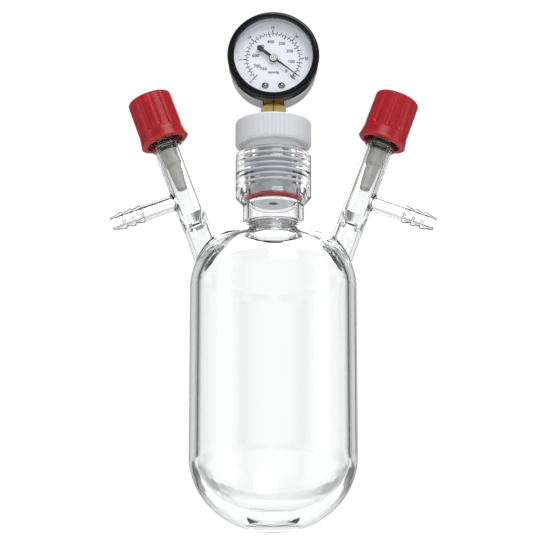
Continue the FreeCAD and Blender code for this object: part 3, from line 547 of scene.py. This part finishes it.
def makeCaseSteel():
    material = startMaterial("steelSpunLacquered")
    place = addNode(material, "ShaderNodeTexCoord")
    shift = addNode(material, "ShaderNodeVectorMath", {"operation": "SUBTRACT"}, {
        0: place.outputs["Object"], 1: (0, 0, gaugeAxisMm * mm),
    })
    spot = addNode(material, "ShaderNodeSeparateXYZ", {}, {0: shift})
    turn = addNode(material, "ShaderNodeMath", {"operation": "ARCTAN2"}, {
        0: spot.outputs["X"], 1: spot.outputs["Z"],
    })
    away = addNode(material, "ShaderNodeVectorMath", {"operation": "LENGTH"}, {0: shift})
    along = addNode(material, "ShaderNodeMath", {"operation": "MULTIPLY"}, {
        0: turn, 1: caseSteel["radianMm"] * mm,
    })
    track = addNode(material, "ShaderNodeCombineXYZ", {}, {
        0: along, 1: spot.outputs["Y"], 2: away.outputs["Value"],
    })
    streaks = addNode(material, "ShaderNodeTexNoise", {}, {
        "Vector": track, "Scale": 1 / (caseSteel["streakMm"] * mm), "Detail": 3.0,
    })
    colour = addNode(material, "ShaderNodeMix", {"data_type": "RGBA"}, {
        0: streaks, 6: caseSteel["colour"], 7: caseSteel["streak"],
    })
    skin = addNode(material, "ShaderNodeBump", {}, {
        "Height": streaks, "Distance": caseSteel["depthMm"] * mm, "Strength": 1.0,
    })
    metal = addNode(material, "ShaderNodeBsdfPrincipled", {}, {
        "Base Color": colour.outputs[2], "Metallic": caseSteel["metallic"],
        "Roughness": caseSteel["roughness"], "Normal": skin,
    })
    addNode(material, "ShaderNodeOutputMaterial", {}, {"Surface": metal})
    return material


dress(makeCaseSteel(), "gauge_case")

# Steel ring, pressed and stove enamelled black: deep gloss, slight orange peel
bezelEnamel = {
    "colour": "#020303",
    "roughness": 0.12,
    "ior": 1.5,
    "specular": 0.4,
    "peelMm": 1.5,
    "depthMm": 0.004,
}


def makeBezelEnamel():
    material = startMaterial("enamelBlackStoved")
    place = addNode(material, "ShaderNodeTexCoord")
    peel = addNode(material, "ShaderNodeTexNoise", {}, {
        "Vector": place.outputs["Object"], "Scale": 1 / (bezelEnamel["peelMm"] * mm), "Detail": 1.0,
    })
    skin = addNode(material, "ShaderNodeBump", {}, {
        "Height": peel, "Distance": bezelEnamel["depthMm"] * mm, "Strength": 1.0,
    })
    enamel = addNode(material, "ShaderNodeBsdfPrincipled", {}, {
        "Base Color": bezelEnamel["colour"], "Roughness": bezelEnamel["roughness"], "IOR": bezelEnamel["ior"],
        "Specular IOR Level": bezelEnamel["specular"], "Normal": skin,
    })
    addNode(material, "ShaderNodeOutputMaterial", {}, {"Surface": enamel})
    return material


dress(makeBezelEnamel(), "gauge_bezel")

# Float glass, cut to a disc: flat and clear, mirrors a little; its bending of light is left out
windowGlass = {"ior": 1.52, "tint": "#fefefe"}


def makeWindowGlass():
    material = startMaterial("floatGlassDisc")
    clear = addNode(material, "ShaderNodeBsdfTransparent", {}, {"Color": windowGlass["tint"]})
    gloss = addNode(material, "ShaderNodeBsdfGlossy", {}, {"Color": "#ffffff", "Roughness": 0.0})
    mirrored = addNode(material, "ShaderNodeFresnel", {}, {"IOR": windowGlass["ior"]})
    path = addNode(material, "ShaderNodeLightPath")
    side = addNode(material, "ShaderNodeNewGeometry")
    # only its outer skin mirrors, as a ray isn't bent on its way through
    plain = addNode(material, "ShaderNodeMath", {"operation": "MAXIMUM"}, {
        0: path.outputs["Is Shadow Ray"], 1: side.outputs["Backfacing"],
    })
    glossy = addNode(material, "ShaderNodeMath", {"operation": "SUBTRACT"}, {0: 1.0, 1: plain})
    share = addNode(material, "ShaderNodeMath", {"operation": "MULTIPLY"}, {0: mirrored, 1: glossy})
    both = addNode(material, "ShaderNodeMixShader", {}, {0: share, 1: clear, 2: gloss})
    addNode(material, "ShaderNodeOutputMaterial", {}, {"Surface": both})
    return material


dress(makeWindowGlass(), "gauge_window")

# Aluminium disc, painted matt off-white with a hint of blue, printed in black
dialFace = {
    "paint": "#e9ecf5",
    "edgePaint": "#dde0ea",
    "ink": "#0b0c10",
    "roughness": 0.5,
    "grainMm": 0.5,
    "depthMm": 0.003,
    "faceMm": -9.6,
    "proudMm": 0.04,           # the print stands this far off the paint
    "scaleMm": 16.3,           # radius of the scale's circle
    "startDegrees": 227.0,     # both scales run clockwise from here
    "sweepDegrees": 272.0,
    "outerCount": 30,          # real ones stand twice as close, too fine to show
    "outerShortMm": 17.9,
    "outerLongMm": 18.9,
    "innerCount": 38,          # drawn coarser too, and counted from the far end
    "innerUnit": 20,
    "longEach": 5,
    "innerShortMm": 15.1,
    "innerLongMm": 14.2,
    "thinMm": 0.45,            # drawn bolder than the real 0.2 to show
    "thickMm": 0.55,
    "ringMm": 0.24,
    "ringSteps": 96,
    "outerTextMm": 20.2,
    "innerTextMm": 11.1,
    "outerTextSizeMm": 2.3,
    "innerTextSizeMm": 2.9,
    "unitDropMm": 8.7,
    "unitSizeMm": 2.5,
    "boldMm": 0.06,            # how much fatter each figure's outline is drawn
    "curveSteps": 2,
    "lastTextMm": 16.3,        # the last outer figures stand on the circle's end, as a dark mark
    "lastTurn": 2,
    "lastGrowMm": 0.9,
    "lastInsetMm": 2.2,
    "ior": 1.48,
}


def makeDialPaint(name, colour, edge):
    material = startMaterial(name)
    place = addNode(material, "ShaderNodeTexCoord")
    grain = addNode(material, "ShaderNodeTexNoise", {}, {
        "Vector": place.outputs["Object"], "Scale": 1 / (dialFace["grainMm"] * mm), "Detail": 2.0,
    })
    mixed = addNode(material, "ShaderNodeMix", {"data_type": "RGBA"}, {0: grain, 6: colour, 7: edge})
    skin = addNode(material, "ShaderNodeBump", {}, {
        "Height": grain, "Distance": dialFace["depthMm"] * mm, "Strength": 1.0,
    })
    paint = addNode(material, "ShaderNodeBsdfPrincipled", {}, {
        "Base Color": mixed.outputs[2], "Roughness": dialFace["roughness"], "IOR": dialFace["ior"],
        "Normal": skin,
    })
    addNode(material, "ShaderNodeOutputMaterial", {}, {"Surface": paint})
    return material


dress(makeDialPaint("paintDialMatt", dialFace["paint"], dialFace["edgePaint"]), "dial_plate")

# Card, cut to the ring between window and dial: grey and matt
windowRing = {"colour": "#b4b8c3", "edge": "#a4a8b4"}

dress(makeDialPaint("cardSpacer", windowRing["colour"], windowRing["edge"]), "window_ring")


def dialPoint(radiusMm, degrees):
    turn = math.radians(degrees)
    y = (dialFace["faceMm"] - dialFace["proudMm"]) * mm
    z = gaugeAxisMm * mm + radiusMm * mm * math.sin(turn)
    return Vector((radiusMm * mm * math.cos(turn), y, z))


def addStroke(mesh, degrees, fromMm, toMm, widthMm):
    along = dialPoint(toMm, degrees) - dialPoint(fromMm, degrees)
    side = Vector((-along.z, 0, along.x)).normalized() * (widthMm * mm / 2)
    corners = [
        dialPoint(fromMm, degrees) - side, dialPoint(toMm, degrees) - side,
        dialPoint(toMm, degrees) + side, dialPoint(fromMm, degrees) + side,
    ]
    mesh.faces.new([mesh.verts.new(c) for c in corners])


def addRing(mesh, radiusMm, widthMm, fromDegrees, sweep, steps):
    pairs = []
    for step in range(steps + 1):
        degrees = fromDegrees + sweep * step / steps
        edges = (radiusMm - widthMm / 2, radiusMm + widthMm / 2)
        pairs.append([mesh.verts.new(dialPoint(edge, degrees)) for edge in edges])
    for first, second in zip(pairs, pairs[1:]):
        mesh.faces.new([first[0], first[1], second[1], second[0]])


def addNumber(mesh, text, radiusMm, degrees, sizeMm, leanDegrees):
    font = bpy.data.curves.new("figure", "FONT")
    font.body = text
    font.size = sizeMm * mm
    font.align_x = "CENTER"
    font.align_y = "CENTER"
    font.resolution_u = dialFace["curveSteps"]
    font.offset = dialFace["boldMm"] * mm
    figure = bpy.data.objects.new("figure", font)
    bpy.context.scene.collection.objects.link(figure)
    flat = bpy.data.meshes.new_from_object(figure)
    spin = Matrix.Rotation(math.radians(leanDegrees), 4, "Z")
    upright = Matrix.Rotation(math.pi / 2, 4, "X")
    flat.transform(Matrix.Translation(dialPoint(radiusMm, degrees)) @ upright @ spin)
    mesh.from_mesh(flat)
    bpy.data.objects.remove(figure)
    bpy.data.meshes.remove(flat)
    bpy.data.curves.remove(font)


def makeDialPrint():
    part = dialFace
    mesh = bmesh.new()
    start, sweep = part["startDegrees"], part["sweepDegrees"]
    addRing(mesh, part["scaleMm"], part["ringMm"], start, -sweep, part["ringSteps"])
    for count in range(part["outerCount"] + 1):
        degrees = start - sweep * count / part["outerCount"]
        major = count % part["longEach"] == 0
        addStroke(
            mesh, degrees, part["scaleMm"], part["outerLongMm"] if major else part["outerShortMm"],
            part["thickMm"] if major else part["thinMm"],
        )
        if major:
            last = count == part["outerCount"]
            reach = part["lastTextMm"] if last else part["outerTextMm"]
            place = degrees + (part["lastTurn"] if last else 0)
            size = part["outerTextSizeMm"] + (part["lastGrowMm"] if last else 0)
            addNumber(mesh, str(count), reach, place, size, degrees - 90)
    for count in range(part["innerCount"] + 1):
        degrees = start - sweep + sweep * count / part["innerCount"]
        last = count == part["innerCount"]
        major = count % part["longEach"] == 0 or last
        addStroke(
            mesh, degrees, part["innerLongMm"] if major else part["innerShortMm"], part["scaleMm"],
            part["thickMm"] if major else part["thinMm"],
        )
        if major:
            reach = part["innerTextMm"] - (part["lastInsetMm"] if last else 0)
            addNumber(mesh, str(count * part["innerUnit"]), reach, degrees, part["innerTextSizeMm"], 0)
    addNumber(mesh, "mmHg", part["unitDropMm"], -90, part["unitSizeMm"], 0)
    data = bpy.data.meshes.new("dialPrint")
    mesh.to_mesh(data)
    mesh.free()
    piece = bpy.data.objects.new("dialPrint", data)
    bpy.context.scene.collection.objects.link(piece)
    data.materials.append(makeDialPaint("inkScreenPrinted", part["ink"], part["ink"]))
    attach(piece, "bushing")


makeDialPrint()

# Steel, cold headed and nickel plated: bright, small smooth domes
plating = {
    "colour": "#d5d5d2",
    "flank": "#26282b",    # painted reflection: a dome's sides get the dark of the case painted on
    "flankFrom": 0.04,
    "flankTo": 0.3,
    "roughness": 0.14,
    "pitMm": 0.3,
    "depthMm": 0.003,
}


def makePlating():
    material = startMaterial("steelNickelPlated")
    place = addNode(material, "ShaderNodeTexCoord")
    pits = addNode(material, "ShaderNodeTexNoise", {}, {
        "Vector": place.outputs["Object"], "Scale": 1 / (plating["pitMm"] * mm), "Detail": 2.0,
    })
    skin = addNode(material, "ShaderNodeBump", {}, {
        "Height": pits, "Distance": plating["depthMm"] * mm, "Strength": 1.0,
    })
    # painted reflection: the dome's sides turn dark where they face away
    facing = addNode(material, "ShaderNodeLayerWeight", {}, {"Blend": 0.5})
    flank = addNode(material, "ShaderNodeMapRange", {}, {
        "Value": facing.outputs["Facing"], "From Min": plating["flankFrom"], "From Max": plating["flankTo"],
    })
    colour = addNode(material, "ShaderNodeMix", {"data_type": "RGBA"}, {
        0: flank, 6: plating["colour"], 7: plating["flank"],
    })
    metal = addNode(material, "ShaderNodeBsdfPrincipled", {}, {
        "Base Color": colour.outputs[2], "Metallic": 1.0, "Roughness": plating["roughness"], "Normal": skin,
    })
    addNode(material, "ShaderNodeOutputMaterial", {}, {"Surface": metal})
    return material


dress(makePlating(), "dial_screws", "case_screws", "movement_screws")

# Aluminium strip, stamped and painted dark slate: matt and thin
pointerFinish = {"paint": "#1d2026", "roughness": 0.5, "ior": 1.48, "grainMm": 0.4, "depthMm": 0.003}


def makePointerFinish():
    material = startMaterial("aluminiumPaintedSlate")
    place = addNode(material, "ShaderNodeTexCoord")
    grain = addNode(material, "ShaderNodeTexNoise", {}, {
        "Vector": place.outputs["Object"], "Scale": 1 / (pointerFinish["grainMm"] * mm), "Detail": 2.0,
    })
    skin = addNode(material, "ShaderNodeBump", {}, {
        "Height": grain, "Distance": pointerFinish["depthMm"] * mm, "Strength": 1.0,
    })
    coat = addNode(material, "ShaderNodeBsdfPrincipled", {}, {
        "Base Color": pointerFinish["paint"], "Roughness": pointerFinish["roughness"],
        "IOR": pointerFinish["ior"], "Normal": skin,
    })
    addNode(material, "ShaderNodeOutputMaterial", {}, {"Surface": coat})
    return material


# Steel hub, turned and plated: pale rim, a dark ring of painted groove shade, a bright face and a dark centre
# mark
hubSteel = {
    # radius and colour
    "ringsMm": [
        (0.0, "#34363a"), (0.45, "#34363a"), (0.55, "#f2f0ea"), (1.15, "#f2f0ea"),
        # the dark pair at 1.3 and 1.5 is painted shade for a groove
        (1.3, "#55585d"), (1.5, "#55585d"), (1.65, "#f2f0ea"),
    ],
    "reachMm": 2.5,
    "roughness": 0.25,
    "metallic": 0.3,
}


def makeHubSteel():
    material = startMaterial("steelTurnedPlated")
    place = addNode(material, "ShaderNodeTexCoord")
    shift = addNode(material, "ShaderNodeVectorMath", {"operation": "SUBTRACT"}, {
        0: place.outputs["Object"], 1: (0, 0, gaugeAxisMm * mm),
    })
    flat = addNode(material, "ShaderNodeVectorMath", {"operation": "MULTIPLY"}, {
        0: shift, 1: (1.0, 0.0, 1.0),
    })
    away = addNode(material, "ShaderNodeVectorMath", {"operation": "LENGTH"}, {0: flat})
    share = addNode(material, "ShaderNodeMapRange", {}, {
        "Value": away.outputs["Value"], "From Max": hubSteel["reachMm"] * mm,
    })
    rings = addNode(material, "ShaderNodeValToRGB", {}, {"Fac": share})
    setStops(rings, [(radius / hubSteel["reachMm"], colour) for radius, colour in hubSteel["ringsMm"]])
    metal = addNode(material, "ShaderNodeBsdfPrincipled", {}, {
        "Base Color": rings, "Metallic": hubSteel["metallic"], "Roughness": hubSteel["roughness"],
    })
    addNode(material, "ShaderNodeOutputMaterial", {}, {"Surface": metal})
    return material


dress(makePointerFinish(), "pointer")
dress(makeHubSteel(), "pointer_cap")
print("gauge dressed")

# ABS, moulded deep red: semi gloss, with a painted highlight along the sharp flute edges
valveKnob = {
    "colour": "#930e1a",
    # painted highlight along the flutes' sharp edges
    "edge": "#b8202c",
    "specular": 0.3,
    "roughness": 0.3,
    "ior": 1.54,
    "grainMm": 0.3,            # spark texture of the mould
    "depthMm": 0.012,
    "edgeHighlightFrom": 0.5,         # sharpness of an edge at which the painted highlight starts and is full
    "edgeHighlightTo": 0.56,
    "edgeHighlightShare": 0.8,
}


def makeValveKnob():
    material = startMaterial("absRedMoulded")
    place = addNode(material, "ShaderNodeTexCoord")
    shape = addNode(material, "ShaderNodeNewGeometry")
    grain = addNode(material, "ShaderNodeTexNoise", {}, {
        "Vector": place.outputs["Object"], "Scale": 1 / (valveKnob["grainMm"] * mm), "Detail": 2.0,
    })
    edgeHighlight = addNode(material, "ShaderNodeMapRange", {}, {
        "Value": shape.outputs["Pointiness"],
        "From Min": valveKnob["edgeHighlightFrom"], "From Max": valveKnob["edgeHighlightTo"],
        "To Min": 0.0, "To Max": valveKnob["edgeHighlightShare"],
    })
    colour = addNode(material, "ShaderNodeMix", {"data_type": "RGBA"}, {
        0: edgeHighlight, 6: valveKnob["colour"], 7: valveKnob["edge"],
    })
    skin = addNode(material, "ShaderNodeBump", {}, {
        "Height": grain, "Distance": valveKnob["depthMm"] * mm, "Strength": 1.0,
    })
    plastic = addNode(material, "ShaderNodeBsdfPrincipled", {}, {
        "Base Color": colour.outputs[2], "Roughness": valveKnob["roughness"], "IOR": valveKnob["ior"],
        "Specular IOR Level": valveKnob["specular"], "Normal": skin,
    })
    addNode(material, "ShaderNodeOutputMaterial", {}, {"Surface": plastic})
    return material


dress(makeValveKnob(), "right_knob", "left_knob")

# Glass-filled PTFE, turned: warm grey, satin, faint flow clouds
spindlePtfe = {
    "colour": "#b5b2ad",
    "cloud": "#9f9c97",
    "roughness": 0.36,
    "ior": 1.36,
    "cloudMm": 3.0,
    "depthMm": 0.02,
}


def makeSpindlePtfe():
    material = startMaterial("ptfeFilledTurned")
    place = addNode(material, "ShaderNodeTexCoord")
    cloud = addNode(material, "ShaderNodeTexNoise", {}, {
        "Vector": place.outputs["Object"], "Scale": 1 / (spindlePtfe["cloudMm"] * mm), "Detail": 3.0,
    })
    colour = addNode(material, "ShaderNodeMix", {"data_type": "RGBA"}, {
        0: cloud, 6: spindlePtfe["colour"], 7: spindlePtfe["cloud"],
    })
    skin = addNode(material, "ShaderNodeBump", {}, {
        "Height": cloud, "Distance": spindlePtfe["depthMm"] * mm, "Strength": 1.0,
    })
    plastic = addNode(material, "ShaderNodeBsdfPrincipled", {}, {
        "Base Color": colour.outputs[2], "Roughness": spindlePtfe["roughness"], "IOR": spindlePtfe["ior"],
        "Normal": skin,
    })
    addNode(material, "ShaderNodeOutputMaterial", {}, {"Surface": plastic})
    return material


dress(makeSpindlePtfe(), "right_spindle", "left_spindle")

# Fluoroelastomer, moulded: black, greasy sheen
spindleSeal = {"colour": "#17181a", "roughness": 0.4, "ior": 1.5, "grainMm": 0.4, "depthMm": 0.008}


def makeSpindleSeal():
    material = startMaterial("rubberBlackMoulded")
    place = addNode(material, "ShaderNodeTexCoord")
    grain = addNode(material, "ShaderNodeTexNoise", {}, {
        "Vector": place.outputs["Object"], "Scale": 1 / (spindleSeal["grainMm"] * mm), "Detail": 2.0,
    })
    skin = addNode(material, "ShaderNodeBump", {}, {
        "Height": grain, "Distance": spindleSeal["depthMm"] * mm, "Strength": 1.0,
    })
    rubber = addNode(material, "ShaderNodeBsdfPrincipled", {}, {
        "Base Color": spindleSeal["colour"], "Roughness": spindleSeal["roughness"], "IOR": spindleSeal["ior"],
        "Normal": skin,
    })
    addNode(material, "ShaderNodeOutputMaterial", {}, {"Surface": rubber})
    return material


dress(makeSpindleSeal(), "right_spindle_o_rings", "left_spindle_o_rings")
print("valves dressed")
